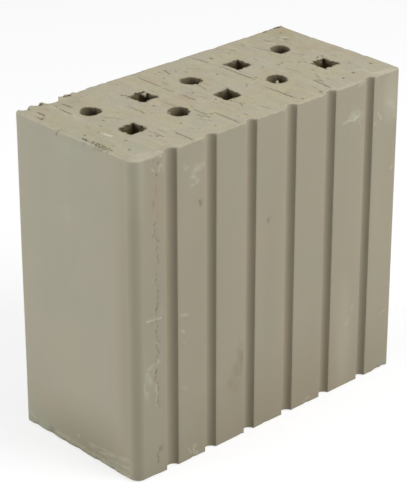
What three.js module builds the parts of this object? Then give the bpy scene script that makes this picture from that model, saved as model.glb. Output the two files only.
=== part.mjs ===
// Extruded clay brick, unfired. A column of stiff clay is pushed up through a die and cut to length by a
// wire, so the brick is one plan section carried straight up: rounded corners, a row of plaster-key grooves
// on both long faces, and two rows of through holes, round and square by turns. The wire leaves both beds
// flat, and handling takes the sharp arris off them.
// Millimetres, +Z up. X runs along the grooved faces. The origin is the middle of the lower bed.
import * as THREE from "three";

// Overall size
const LENGTH = 240;
const WIDTH = 115;
const HEIGHT = 227;

// Edges. The die has worn round at its front left corner.
const CORNER_RADIUS = 3;
const WORN_CORNER_RADIUS = 7;
const ARRIS = 0.8;

// Plaster-key grooves, the same on both long faces
const GROOVE_RADIUS = 5.4;
const GROOVE_DEPTH = 4.1;
const GROOVE_LIP = 1.2;
const GROOVE_PITCH = 35.7;
const GROOVES_OFF_CENTRE = -0.7;
const LEAST_END_RIB = 18;

// Through holes, in two rows along X
const ROUND_DIAMETER = 14.5;
const SQUARE_SIDE = 13.5;
const SQUARE_CORNER = 1.2;
const HOLE_PITCH = 42.7;
const ROW_SPACING = 40.4;
const ROW_BOW = 3.2;
const ROWS_OFF_CENTRE = 3.2;
const LEAST_END_WALL = 20;

// Longest facet along an arc of the section
const FACET = 1.5;

// A point a distance from a centre, at an angle
function polar(centre, radius, angle) {
  return new THREE.Vector2(centre.x + radius * Math.cos(angle), centre.y + radius * Math.sin(angle));
}

// The points of an arc, both ends included
function arc(centre, radius, from, to) {
  const steps = Math.max(2, Math.ceil((radius * Math.abs(to - from)) / FACET));
  return Array.from({ length: steps + 1 }, (_, i) => polar(centre, radius, from + ((to - from) * i) / steps));
}

// Evenly spaced places along X, as many as leave the least end on either side of what stands there
function placesAlong(pitch, size, leastEnd, offCentre) {
  const room = LENGTH - 2 * leastEnd - size;
  const count = Math.floor(room / pitch) + 1;
  return Array.from({ length: count }, (_, i) => offCentre + pitch * (i - (count - 1) / 2));
}

// Half the mouth of a groove, out to where its rounded lips meet the flat of the face
const grooveCentreOut = GROOVE_RADIUS - GROOVE_DEPTH;
const grooveHalfMouth = Math.sqrt((GROOVE_RADIUS + GROOVE_LIP) ** 2 - (GROOVE_LIP + grooveCentreOut) ** 2);

// One groove in a face that runs along +X with the clay above it: lip, hollow, lip
function groove(x, face) {
  const turn = Math.atan2(GROOVE_LIP + grooveCentreOut, grooveHalfMouth);
  const leftLip = new THREE.Vector2(x - grooveHalfMouth, face + GROOVE_LIP);
  const rightLip = new THREE.Vector2(x + grooveHalfMouth, face + GROOVE_LIP);
  const hollow = new THREE.Vector2(x, face - grooveCentreOut);
  return [
    ...arc(leftLip, GROOVE_LIP, -Math.PI / 2, -turn),
    ...arc(hollow, GROOVE_RADIUS, Math.PI - turn, turn).slice(1, -1),
    ...arc(rightLip, GROOVE_LIP, Math.PI + turn, (3 * Math.PI) / 2),
  ];
}

// The front half of the outline, left corner to right corner
function longFace(leftRadius, rightRadius) {
  const face = -WIDTH / 2;
  const left = new THREE.Vector2(leftRadius - LENGTH / 2, face + leftRadius);
  const right = new THREE.Vector2(LENGTH / 2 - rightRadius, face + rightRadius);
  const grooveXs = placesAlong(GROOVE_PITCH, 2 * grooveHalfMouth, LEAST_END_RIB, GROOVES_OFF_CENTRE);
  return [
    ...arc(left, leftRadius, Math.PI, (3 * Math.PI) / 2),
    ...grooveXs.flatMap((x) => groove(x, face)),
    ...arc(right, rightRadius, (3 * Math.PI) / 2, 2 * Math.PI),
  ];
}

// The outline: the front half, and a back half that is the mirror image of a front one with no worn corner
function outline() {
  const front = longFace(WORN_CORNER_RADIUS, CORNER_RADIUS);
  const back = longFace(CORNER_RADIUS, CORNER_RADIUS).map((p) => new THREE.Vector2(p.x, -p.y));
  return new THREE.Shape([...front, ...back.reverse()]);
}

function roundHole(x, y) {
  const centre = new THREE.Vector2(x, y);
  return new THREE.Path(arc(centre, ROUND_DIAMETER / 2, 0, 2 * Math.PI).slice(0, -1));
}

function squareHole(x, y) {
  const reach = SQUARE_SIDE / 2 - SQUARE_CORNER;
  const corners = [[1, 1], [-1, 1], [-1, -1], [1, -1]];
  return new THREE.Path(
    corners.flatMap(([sx, sy], i) => {
      const centre = new THREE.Vector2(x + sx * reach, y + sy * reach);
      return arc(centre, SQUARE_CORNER, (i * Math.PI) / 2, ((i + 1) * Math.PI) / 2);
    }),
  );
}

// How far a row has bowed in towards the other one: fully at its middle, not at all at its end holes
function bow(x, end) {
  return ROW_BOW * (1 - (x / end) ** 2);
}

// Two rows of holes, spaced apart at their ends and bowed in where the clay pressed the die's long core bars
// together. A round hole in one row faces a square one in the other.
function holes() {
  const xs = placesAlong(HOLE_PITCH, ROUND_DIAMETER, LEAST_END_WALL, 0);
  const end = xs[xs.length - 1];
  return [-1, 1].flatMap((side, row) =>
    xs.map((x, i) => {
      const y = ROWS_OFF_CENTRE + side * (ROW_SPACING / 2 - bow(x, end));
      return (i + row) % 2 === 0 ? squareHole(x, y) : roundHole(x, y);
    }),
  );
}

function clayBrick() {
  const section = outline();
  section.holes = holes();
  const geometry = new THREE.ExtrudeGeometry(section, {
    depth: HEIGHT - 2 * ARRIS,
    bevelThickness: ARRIS,
    bevelSize: ARRIS,
    bevelOffset: -ARRIS,
    bevelSegments: 1,
  });
  geometry.translate(0, 0, ARRIS);
  const rawClay = new THREE.MeshStandardMaterial({ color: 0xa69d88, roughness: 0.95, metalness: 0 });
  const brick = new THREE.Mesh(geometry, rawClay);
  brick.name = "clay_brick";
  return brick;
}

const part = new THREE.Group();
part.add(clayBrick());

export default part;
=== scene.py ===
# Raw clay brick: extruded, wire-cut and not yet fired.
#
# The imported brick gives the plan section, the holes and the overall size. This script makes the same brick as
# it stands on the drying rack: sides smoothed by the die, beds dragged and torn by the wire, soft arrises,
# nicked hole mouths, and the smears and crumbs of handling.
#
# Sizes are in millimetres until a mesh is made. X runs along the grooved faces, Y from the front one to the
# back one, and Z up along the holes. The origin is the middle of the lower bed.
import itertools
import math

import bmesh
import bpy
import numpy as np
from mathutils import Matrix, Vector, geometry


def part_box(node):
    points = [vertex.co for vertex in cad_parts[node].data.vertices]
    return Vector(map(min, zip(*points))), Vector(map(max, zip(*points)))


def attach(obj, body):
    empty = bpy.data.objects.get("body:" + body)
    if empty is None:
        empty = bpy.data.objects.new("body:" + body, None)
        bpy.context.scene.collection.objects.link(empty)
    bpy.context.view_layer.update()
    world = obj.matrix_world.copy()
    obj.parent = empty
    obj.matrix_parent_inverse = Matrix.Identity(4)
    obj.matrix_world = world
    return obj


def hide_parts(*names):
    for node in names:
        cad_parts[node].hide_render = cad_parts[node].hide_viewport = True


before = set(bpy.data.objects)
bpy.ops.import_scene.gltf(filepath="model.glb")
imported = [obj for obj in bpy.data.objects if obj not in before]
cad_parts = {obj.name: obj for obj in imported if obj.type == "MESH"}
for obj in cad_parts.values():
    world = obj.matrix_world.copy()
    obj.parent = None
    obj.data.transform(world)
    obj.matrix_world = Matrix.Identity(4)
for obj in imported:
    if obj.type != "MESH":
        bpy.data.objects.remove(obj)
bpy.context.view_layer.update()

MM = 0.001  # metres in a millimetre

# The brick's own box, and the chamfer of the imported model: its section runs plain below that
LOW, HIGH = (np.array(corner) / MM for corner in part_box("clay_brick"))
LEFT, FRONT = LOW[:2]
HEIGHT = (HIGH - LOW)[2]
CHAMFER = 0.8

# How far the clay shrank inside the section, which leaves smears and burrs room to stand proud, and how far
# the waves that the die and the wire left rise above that
SIDE_SHRINK = 0.4
SIDE_RISE = 0.2
BED_SHRINK = 0.55
BED_RISE = 0.45

# Mesh steps: along an arris, round a hole, over a flat side, up a curved one, within a mark, along a tear and
# over each bed. Rows of even triangles lie closer together than the points in them
RIM_STEP = 1.5
MOUTH_STEP = 0.7
SKIN_STEP = 5.0
ROW_STEP = 8.0
MARK_STEP = 0.9
TEAR_STEP = 0.9
TOP_GRAIN = 1.15
BOTTOM_GRAIN = 2.4
ROW_SHARE = 0.87

# Least gaps, which keep triangles from getting thin: from points of a side to a mark, a bend, its seam and
# its ends, and from tears to a bed's rim and its other points
MARK_GAP = 0.7
BEND_GAP = 0.55
SEAM_GAP = 0.8
END_GAP = 0.6
RIM_GAP = 0.35
TEAR_GAP = 0.5


# ---- Noise, and sums over rows of points


def lumps(points, size, seed):
    """Smooth noise from -1 to 1 at points in mm, with lumps of one size, or of a size along each axis."""
    p = np.asarray(points, float) / size + seed * 7.13
    cell = np.floor(p).astype(np.int64)
    t = p - cell
    t = t * t * (3 - 2 * t)
    total = np.zeros(len(p))
    for corner in itertools.product((0, 1), repeat=p.shape[1]):
        key = np.full(len(p), seed * 7919 + 17, np.int64)
        share = np.ones(len(p))
        for axis, far in enumerate(corner):
            key = (key * 1103515245 + (cell[:, axis] + far) * 2654435761 + 12345) & 0x7FFFFFFF
            key ^= key >> 13
            share *= t[:, axis] if far else 1 - t[:, axis]
        total += share * ((key & 0xFFFF) / 0x7FFF - 1)
    return total


def dome(distance, radius):
    """1 at no distance, falling smoothly to 0 at the radius."""
    return np.clip(1 - (distance / radius) ** 2, 0, 1) ** 2


def lengths(rows):
    """How long each row is, taken as a step."""
    return np.linalg.norm(rows, axis=-1)


def cross(a, b):
    """The cross product of each row of A with the same row of B."""
    return a[:, 0] * b[:, 1] - a[:, 1] * b[:, 0]


def ahead(loop, by=1):
    """For each point of a closed loop, the one so many places on."""
    return np.roll(loop, -by, axis=0)


# ---- The plan section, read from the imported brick

# How the die's pins and the soft column let the section wander: the left and right lip of each groove, and
# the holes, first the front row and then the back one, each from the left
GROOVE_XS = [-89.95, -54.25, -18.55, 17.15, 52.85, 88.55]
FRONT_LIPS = [(2.3, 0.8), (0.7, -1.5), (0.7, -2.2), (0.8, -1.9), (1.8, -1.4), (3.9, -0.5)]
BACK_LIPS = [(1.8, 0.9), (0.3, -0.6), (1.4, 0.5), (1.2, 0.3), (0.4, -0.5), (1.1, 0.2)]
LIP_REACH = 8
HOLE_DRIFT = [(1.3, 0.6), (-0.1, 0.1), (0.2, 0), (1, -1.3), (2.2, 0.1)]
HOLE_DRIFT += [(1.4, 1.1), (0.1, -0.5), (-0.5, 0), (0.4, 0.1), (0.1, -0.3)]
ROWS_MIDDLE = 3.2

# How far the wire stretched or squeezed each hole's mouth in the top bed, from front left to back right and
# across that, how deep down, how far from the hole's middle, and over what width it fades
MOUTHS = [(1.02, 0.84), (1.04, 0.86), (1, 0.89), (0.97, 0.87), (0.92, 0.86)]
MOUTHS += [(0.91, 0.85), (0.92, 0.96), (0.83, 0.9), (0.94, 0.92), (0.99, 0.85)]
MOUTH_DEPTH = 34
MOUTH_REACH = 15
MOUTH_FADE = 5

# How ragged it left each mouth, and the arris round the whole bed
RAGGED = [1.8, 0.9, 1.2, 0.5, 2.8, 0.6, 1.3, 0.7, 1.8, 1.2]
RAGGED_ARRIS = 0.12


def plan_loops(node, level):
    """The closed lines that a node's mesh runs round at one level, as arrays of X and Y."""
    shape = bmesh.new()
    shape.from_mesh(node.data)
    bmesh.ops.remove_doubles(shape, verts=shape.verts, dist=1e-6)
    rim = {v for v in shape.verts if abs(v.co.z / MM - level) < 0.01}
    loops = []
    while rim:
        loop = [min(rim, key=lambda v: tuple(v.co))]
        rim.discard(loop[0])
        while True:
            near = [e.other_vert(loop[-1]) for e in loop[-1].link_edges]
            near = [v for v in near if v in rim]
            if not near:
                break
            loop.append(min(near, key=lambda v: tuple(v.co)))
            rim.discard(loop[-1])
        loops.append(np.array([v.co.xy for v in loop]) / MM)
    shape.free()
    return loops


def signed_area(loop):
    """The area inside a loop, less than 0 where it runs clockwise."""
    return float(cross(loop, ahead(loop)).sum() / 2)


def run_round(loop, anticlockwise):
    """The loop, turned if need be so that the clay is always on its left."""
    return loop if (signed_area(loop) > 0) == anticlockwise else loop[::-1]


def split_flats(loop, longest):
    """The loop with its long flats split evenly."""
    made = []
    for here, there in zip(loop, ahead(loop)):
        parts = max(1, math.ceil(np.linalg.norm(there - here) / longest - 1e-6))
        made += [here + (there - here) * i / parts for i in range(parts)]
    return np.array(made)


def round_arcs(loop):
    """One more point on each step of an arc, which is shorter than a flat's, bulged out to keep the curve."""
    made = []
    for a, b, c, d in zip(ahead(loop, -1), loop, ahead(loop), ahead(loop, 2)):
        made.append(b)
        if np.linalg.norm(c - b) < RIM_STEP - 0.05:
            made.append((b + c) * 9 / 16 - (a + d) / 16)
    return np.array(made)


def out_of_clay(loop):
    """At each point of a loop with the clay on its left, the way straight out of the clay."""
    along = ahead(loop) - ahead(loop, -1)
    out = np.stack([along[:, 1], -along[:, 0]], axis=1)
    return out / lengths(out)[:, None]


def turning(loop):
    """How sharply a loop turns at each point, in radians, more than 0 where the clay bulges."""
    before, after = loop - ahead(loop, -1), ahead(loop) - loop
    return np.arctan2(cross(before, after), (before * after).sum(axis=1))


def wander_grooves(outline):
    """The outline with the lips of each groove moved along X, and the ribs between taking it up."""
    x, y = outline.T
    ends = [LOW[0], *itertools.chain(*((at - LIP_REACH, at + LIP_REACH) for at in GROOVE_XS)), HIGH[0]]
    front, back = (np.interp(x, ends, [0, *itertools.chain(*lips), 0]) for lips in (FRONT_LIPS, BACK_LIPS))
    return np.stack([x + np.where(y < 0, front, back), y], axis=1)


def wander_holes(holes):
    """The holes in two rows, front and then back, each moved by its own drift."""
    holes = sorted(holes, key=lambda hole: hole[:, 0].mean())
    front = [hole for hole in holes if hole[:, 1].mean() < ROWS_MIDDLE]
    back = [hole for hole in holes if hole[:, 1].mean() > ROWS_MIDDLE]
    return [hole + drift for hole, drift in zip(front + back, HOLE_DRIFT)]


# ---- Marks on the sides


def on_side(axis, level):
    """Makes strokes for the side at a level of X or Y: from a place along it and Z to another, how wide, how
    far it rises out of the clay, or sinks where less than 0, how pale and how torn."""

    def stroke(a0, z0, a1, z1, width, rise, pale=0, torn=0):
        ends = ((a0, level, z0), (a1, level, z1)) if axis == "Y" else ((level, a0, z0), (level, a1, z1))
        return *ends, width, rise, pale, torn

    return stroke


on_front = on_side("Y", FRONT)
on_back = on_side("Y", -FRONT)
on_left = on_side("X", LEFT)
on_right = on_side("X", -LEFT)

# Smears on the front face and then on the left end, each a stroke
FRONT_SMEARS = [
    # Clay dust and slurry dabbed on the ribs by wet fingers
    (-76.4, 210.2, -74.6, 211, 4, 0.1, 0.4), (-69.5, 206, -62.5, 209.5, 9, 0.08, 0.35),
    (-70.4, 203.6, -66.4, 199.6, 7, 0.1, 0.4), (-67.5, 197.2, -65.5, 199.6, 2, 0.2, 0.8),
    (-73, 197.4, -67.4, 197, 2.6, 0.12, 0.4), (64.4, 201, 72, 201.4, 3, 0.12, 0.5),
    (70.5, 201.6, 76, 200.8, 3.6, 0.18, 0.7), (75.4, 200.6, 78.6, 202.4, 3.2, 0.2, 1),
    (73, 204, 80, 203, 10, 0.08, 0.35), (78.2, 206.2, 79.6, 204.8, 4.6, 0.1, 0.4),
    (80, 199, 82.2, 194.5, 2.2, 0.1, 0.35), (98.6, 199.8, 100.4, 197.4, 2.4, 0.15, 0.55),
    (100.4, 197.4, 101.8, 194.2, 2.8, 0.2, 0.8), (106, 204.2, 108.6, 205.8, 3.4, 0.1, 0.35),
    (110.5, 203.5, 114.5, 200, 8, 0.08, 0.35), (114.6, 199, 115, 191, 3, 0.1, 0.35),
    (95, 191, 95.4, 191.5, 1.7, 0.2, 1), (-104.5, 217.5, -101, 215.6, 2.8, 0.12, 0.45),
    (-98.4, 218.2, -94.6, 219.4, 5, 0.1, 0.35), (-98.6, 217.6, -98, 214.6, 1.8, 0.2, 0.5),
    (-113, 115.4, -98, 114, 2.4, 0.35, 0.6), (-99.5, 113.4, -96.6, 118, 1.6, 0.3, 0.35),
    (-110.6, 80, -100, 84, 5, 0.08, 0.35), (-110.4, 78, -107, 70, 7, 0.08, 0.35),
    (-113.4, 69, -110.6, 62, 3.6, 0.12, 0.5), (-109.4, 64, -108.6, 62.6, 2.2, 0.15, 0.6),
    (-102.8, 66.5, -102.2, 60, 2.6, 0.15, 0.55), (-80.2, 98.2, -78.4, 96.8, 2.4, 0.25, 0.7),
    (-78.4, 89.8, -77.2, 88.4, 1.8, 0.2, 0.55), (-79.4, 58, -78.2, 55.8, 2, 0.2, 0.5),
    (-82, 109.6, -75, 108.2, 1.9, 0.3, 0.55), (73.6, 48.6, 76.8, 52.6, 1.8, 0.15, 0.5),
    (78.6, 57.6, 80.4, 61.6, 1.6, 0.15, 0.4), (107.6, 44, 114.6, 45.9, 1.6, 0.15, 0.35),
    (114.4, 154, 115.4, 155.4, 1.8, 0.15, 0.6), (-75, 8.8, -73.4, 5.6, 1.6, 0.2, 0.6),
    (-70.4, 9.6, -69.6, 1.8, 1.8, 0.2, 0.6), (-67.4, 3.8, -66.6, 0.8, 2, 0.25, 0.65),
    (38, 4.4, 33, 1.8, 2.2, 0.3, 0.5),
    # Burrs that the wire turned over the front arris beside the grooves
    (-97.6, 224.6, -94.8, 225, 2.2, 0.35, 0.7), (-62.2, 224.6, -60, 225, 1.6, 0.3, 0.4),
    (9, 224.8, 12, 225.2, 1.8, 0.3, 0.45), (78, 223.8, 83, 225, 2, 0.35, 0.5),
]

# Drag ridges above the lower arris of the left end
LEFT_SMEARS = [
    (-9.2, 10.4, -34.2, 12.6, 2, 0.2, 0.3), (-19.6, 8.2, -55.4, 16.6, 2.2, 0.2, 0.3),
    (-28, 5.8, -56, 9.8, 2.2, 0.2, 0.3), (53.8, 9.4, 47, 6, 1.6, 0.15, 0.3),
    (49.6, 8, 46.4, 3, 2.2, 0.2, 0.35), (2.4, 12.4, 0.2, 11.6, 1.6, 0.2, 0.3),
    (24, 4.6, -50, 2.4, 5, 0.2, 0.3), (57, 39, 49, 36, 1.2, 0.12, 0.25),
]

# Dents and small torn spots
DENTS = [
    on_front(-64.2, 183.8, -63.8, 182.6, 4.4, -0.35, 0, 0.3),
    on_front(-3.6, 152.9, -3.4, 152.1, 3.6, -0.3, 0, 0.32),
    on_front(-112.2, 219, -110.8, 218.6, 1.2, -0.2, 0, 0.3),
    on_left(14.9, 226.2, 14.9, 223.6, 1.5, -0.4, 0, 1),
    on_front(-26.4, 62, -26.8, 45, 1.5, -0.12, 0, 0.2),
]

# Drag ridges beside the arrises of the right end and the back
RIGHT_RIDGES = [
    (-46, 9.6, -18, 6.4, 2.2, 0.2, 0.35), (-30, 13, 8, 9, 2, 0.2, 0.3), (12, 5, 44, 7.6, 2.4, 0.2, 0.3),
]
BACK_RIDGES = [
    (-112, 7, -98, 4.4, 2, 0.2, 0.3), (-42, 4.6, -30, 6.2, 1.8, 0.2, 0.35), (62, 8.4, 77, 5.4, 2, 0.2, 0.3),
    (28, 221.5, 40, 223, 2, 0.25, 0.45), (96, 222.5, 110, 221, 2.2, 0.25, 0.4),
]

# Where the left rib is scratched: its X, and from Z down to Z
SCRATCH_X = -101.4
SCRATCHED = [(223, 214), (210, 196), (186, 178), (174, 152), (146, 114), (110, 84), (78, 50), (20, 7)]


def scratch(x, runs, seed):
    """A broken scratch up a rib, where grit caught in the die: short uneven dents, in runs."""
    rng = np.random.default_rng(seed)
    made = []
    for z, low in runs:
        while z > low:
            length = rng.uniform(0.9, 3.2)
            start = x + rng.normal() * 0.7
            end = start + rng.normal() * 0.9
            depth = rng.uniform(0.15, 0.5)
            width = rng.uniform(0.8, 1.4)
            made.append(on_front(start, z, end, z - length, width, -depth, 0, rng.uniform(0.15, 0.55)))
            if rng.random() < 0.3:
                made.append(on_front(start - 1.3, z, end - 1.5, z - length, 1.8, 0.12, 0.3))
            z -= length + rng.uniform(0.2, 2.4)
    return made


def handling_marks(stroke, middles, reach, groups, seed):
    """Groups of short smears where hands or the next brick touched a side, and a small dent beside some."""
    rng = np.random.default_rng(seed)
    made = []
    for _ in range(groups):
        x, z = rng.choice(middles) + rng.uniform(-reach, reach), rng.uniform(10, HEIGHT - 14)
        lean = rng.uniform(0, 2 * math.pi)
        for _ in range(rng.integers(2, 5)):
            x0, z0 = x + rng.normal() * 2.2, z + rng.normal() * 4.5
            run, turned = rng.uniform(1.0, 6.5), lean + rng.normal() * 0.5
            x1, z1 = x0 + 0.6 * run * math.cos(turned), z0 + run * math.sin(turned)
            width = rng.uniform(1.6, 5.5)
            pale = rng.uniform(0.3, 0.9) / math.sqrt(width)
            made.append(stroke(x0, z0, x1, z1, width, 0.5 / (width + 1), pale))
        if rng.random() < 0.4:
            made.append(stroke(x, z + 9, x + 0.4, z + 8, rng.uniform(1.6, 3.8), -0.35, 0, 0.3))
    return made


RIB_MIDDLES = [-105, -72.1, -36.4, -0.7, 35, 70.7, 104.5]
END_MIDDLES = [-30, 0, 30]
MARKS = [*itertools.starmap(on_front, FRONT_SMEARS), *itertools.starmap(on_left, LEFT_SMEARS), *DENTS]
MARKS += scratch(SCRATCH_X, SCRATCHED, seed=3)
MARKS += handling_marks(on_back, RIB_MIDDLES, reach=4, groups=11, seed=5)
MARKS += handling_marks(on_right, END_MIDDLES, reach=18, groups=6, seed=9)
MARKS += [*itertools.starmap(on_right, RIGHT_RIDGES), *itertools.starmap(on_back, BACK_RIDGES)]


def ragged_edge(points):
    """How far out the edge of a mark reaches at each point, as a share of its half width."""
    return np.maximum(0.2, 1 + 0.5 * lumps(points, 2.2, 7) + 0.5 * lumps(points, 4.6, 8))


def cover(points, start, end, width, edge):
    """How fully a stroke covers points: 1 along its middle, 0 past its ragged edge."""
    start, run = np.array(start), np.subtract(end, start)
    share = np.clip((points - start) @ run / max(run @ run, 1e-9), 0, 1)
    return dome(lengths(points - start - share[:, None] * run), width / 2 * edge)


# Broad tints of the clay, some of which paint shade or light: X, Y, Z of the middle, radius along each axis,
# and strength
TINTS = {
    # Where the clay is richer in green minerals
    "green": [
        (-114, FRONT, 220, 5, 8, 10, 0.5), (-109, FRONT, 203, 7, 8, 12, 0.12),
        (-69, FRONT, 203, 8, 8, 13, 0.25), (-110, FRONT, 75, 6, 8, 10, 0.35),
        (-74, FRONT, 26, 5, 8, 7, 0.3), (-27, FRONT, 190, 5, 8, 7, 0.25), (77, FRONT, 204, 7, 8, 10, 0.55),
        (108, FRONT, 196, 8, 8, 12, 0.3), (71, FRONT, 105, 4, 8, 6, 0.2), (31, FRONT, 72, 4, 8, 6, 0.2),
        (82, FRONT, 40, 5, 8, 9, 0.25), (115, FRONT, 4, 10, 10, 8, 0.6), (LEFT, 7, 172, 10, 9, 9, 0.3),
        (LEFT, -9, 156, 10, 6, 5, 0.2), (LEFT, 4, 217, 10, 24, 7, 0.3), (LEFT, -38, 6, 10, 24, 9, 0.5),
        (LEFT, 38, 3, 10, 14, 6, 0.4), (-LEFT, -24, 8, 10, 26, 8, 0.45), (-LEFT, 22, 150, 10, 12, 16, 0.25),
        (-LEFT, -12, 60, 10, 10, 14, 0.25), (-104, -FRONT, 6, 14, 9, 9, 0.45),
        (-36, -FRONT, 160, 7, 8, 12, 0.25), (34, -FRONT, 206, 7, 8, 12, 0.3),
        (72, -FRONT, 60, 7, 8, 14, 0.25), (110, -FRONT, 120, 8, 8, 16, 0.25),
        (-113, 54, HEIGHT, 9, 8, 6, 0.4), (-102, 36, HEIGHT, 9, 8, 6, 0.3),
        (-116, -9, HEIGHT, 6, 9, 6, 0.3), (-89, 3, HEIGHT, 8, 7, 6, 0.25),
        (-101, -40, HEIGHT, 14, 11, 6, 0.35), (-48, -40, HEIGHT, 9, 9, 6, 0.25),
        (1, 41, HEIGHT, 10, 8, 6, 0.3), (76, -46, HEIGHT, 9, 8, 6, 0.3), (117, -26, HEIGHT, 9, 9, 6, 0.4),
        (119, 42, HEIGHT, 6, 5, 6, 0.4), (113, -50, HEIGHT, 10, 8, 6, 0.4),
    ],
    # Where it is darker and more olive: olive stains, and painted shade in the first front groove, down the
    # near corner and on the left end beside it. Each side is also darker towards its foot
    "olive_and_painted_shade": [
        (-28, FRONT, 61, 5, 8, 13, 0.5), (-31, FRONT, 51, 7, 8, 11, 0.5), (-36, FRONT, 43, 7, 8, 9, 0.5),
        (-32, FRONT, 38, 8, 8, 8, 0.4), (-60, FRONT, 30, 8, 8, 24, 0.2), (-84, 44, HEIGHT, 16, 14, 8, 0.2),
        (-104, 0, HEIGHT, 22, 60, 8, 0.12), (104, 40, HEIGHT, 26, 26, 8, 0.22),
        (-116, -22, HEIGHT, 4, 11, 4, 0.5), (LEFT, -14, -10, 10, 80, 62, 0.75),
        (0, FRONT, -12, 220, 8, 92, 0.3), (-89, FRONT + 4, 110, 6, 6, 400, 0.34),
        (0, -FRONT, -12, 140, 8, 62, 0.3), (-LEFT, 10, -12, 10, 80, 62, 0.5),
        (-118, -54, 50, 8, 8, 120, 0.34), (0, FRONT, 110, 12, 8, 150, 0.1),
        (-101, FRONT, 150, 14, 8, 200, 0.1), (-60, FRONT, 110, 34, 8, 160, 0.08),
        (LEFT, -50, 60, 10, 14, 260, 0.3),
    ],
    # Where it is richer in iron
    "rust": [
        *((x, FRONT + 5, 110, 6, 5, 400, 0.12) for x in GROOVE_XS),
        (0, FRONT, 0, 130, 8, 70, 0.08), (-117, -54, 120, 5, 6, 150, 0.12),
        (-102, FRONT, 200, 9, 6, 28, 0.2), (LEFT, -46, 110, 12, 18, 500, 0.125),
        (LEFT, 34, 26, 10, 24, 18, 0.15), (110, FRONT, 150, 12, 8, 40, 0.12),
        (-25, 1, HEIGHT, 13, 9, 6, 0.28), (-38, -3, HEIGHT, 12, 8, 6, 0.22), (4, 10, HEIGHT, 8, 7, 6, 0.25),
        (-19, 40, HEIGHT, 9, 7, 6, 0.2), (-43, 49, HEIGHT, 8, 6, 6, 0.2), (-83, 19, HEIGHT, 8, 6, 6, 0.15),
        (2, -29, HEIGHT, 6, 5, 6, 0.2), (99, 14, HEIGHT, 11, 8, 6, 0.28), (114, 49, HEIGHT, 8, 8, 6, 0.4),
        (112, 0, HEIGHT, 8, 7, 6, 0.15),
    ],
    # Where it is more yellow
    "straw": [
        (-33, -15, HEIGHT, 6, 6, 8, 0.5), (-83, 51, HEIGHT, 7, 8, 8, 0.25),
        (-113, 49, HEIGHT, 8, 7, 8, 0.2), (30, -30, HEIGHT, 12, 10, 8, 0.15),
        (-58, 5, HEIGHT, 11, 9, 6, 0.2), (71, -5, HEIGHT, 10, 8, 6, 0.15), (31, 17, HEIGHT, 9, 7, 6, 0.15),
    ],
    # Where hands and the drying board have left a little dust, and painted light brightening the right ribs of
    # the front face
    "dust_and_painted_light": [
        (-117, -55, 110, 7, 7, 220, 0.16), (-116, -55, 212, 9, 9, 50, 0.35),
        (100, FRONT, 120, 34, 8, 160, 0.12), (72, FRONT, 34, 14, 8, 70, 0.3),
        (112, FRONT, 208, 14, 8, 30, 0.45), (108, -54, HEIGHT, 18, 5, 3, 0.7),
        (74, -55, HEIGHT, 12, 4, 3, 0.3), (-107, -53, HEIGHT, 10, 6, 3, 0.3),
        (-100, 20, HEIGHT, 10, 30, 3, 0.15),
    ],
}


def tint(points, blobs):
    """How strongly a tint lies at each point."""
    total = np.zeros(len(points))
    for *middle, rx, ry, rz, strength in blobs:
        total = np.maximum(total, strength * dome(lengths((points - middle) / (rx, ry, rz)), 1))
    return total


# ---- What the wire did to the beds, and handling to the edges

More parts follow.
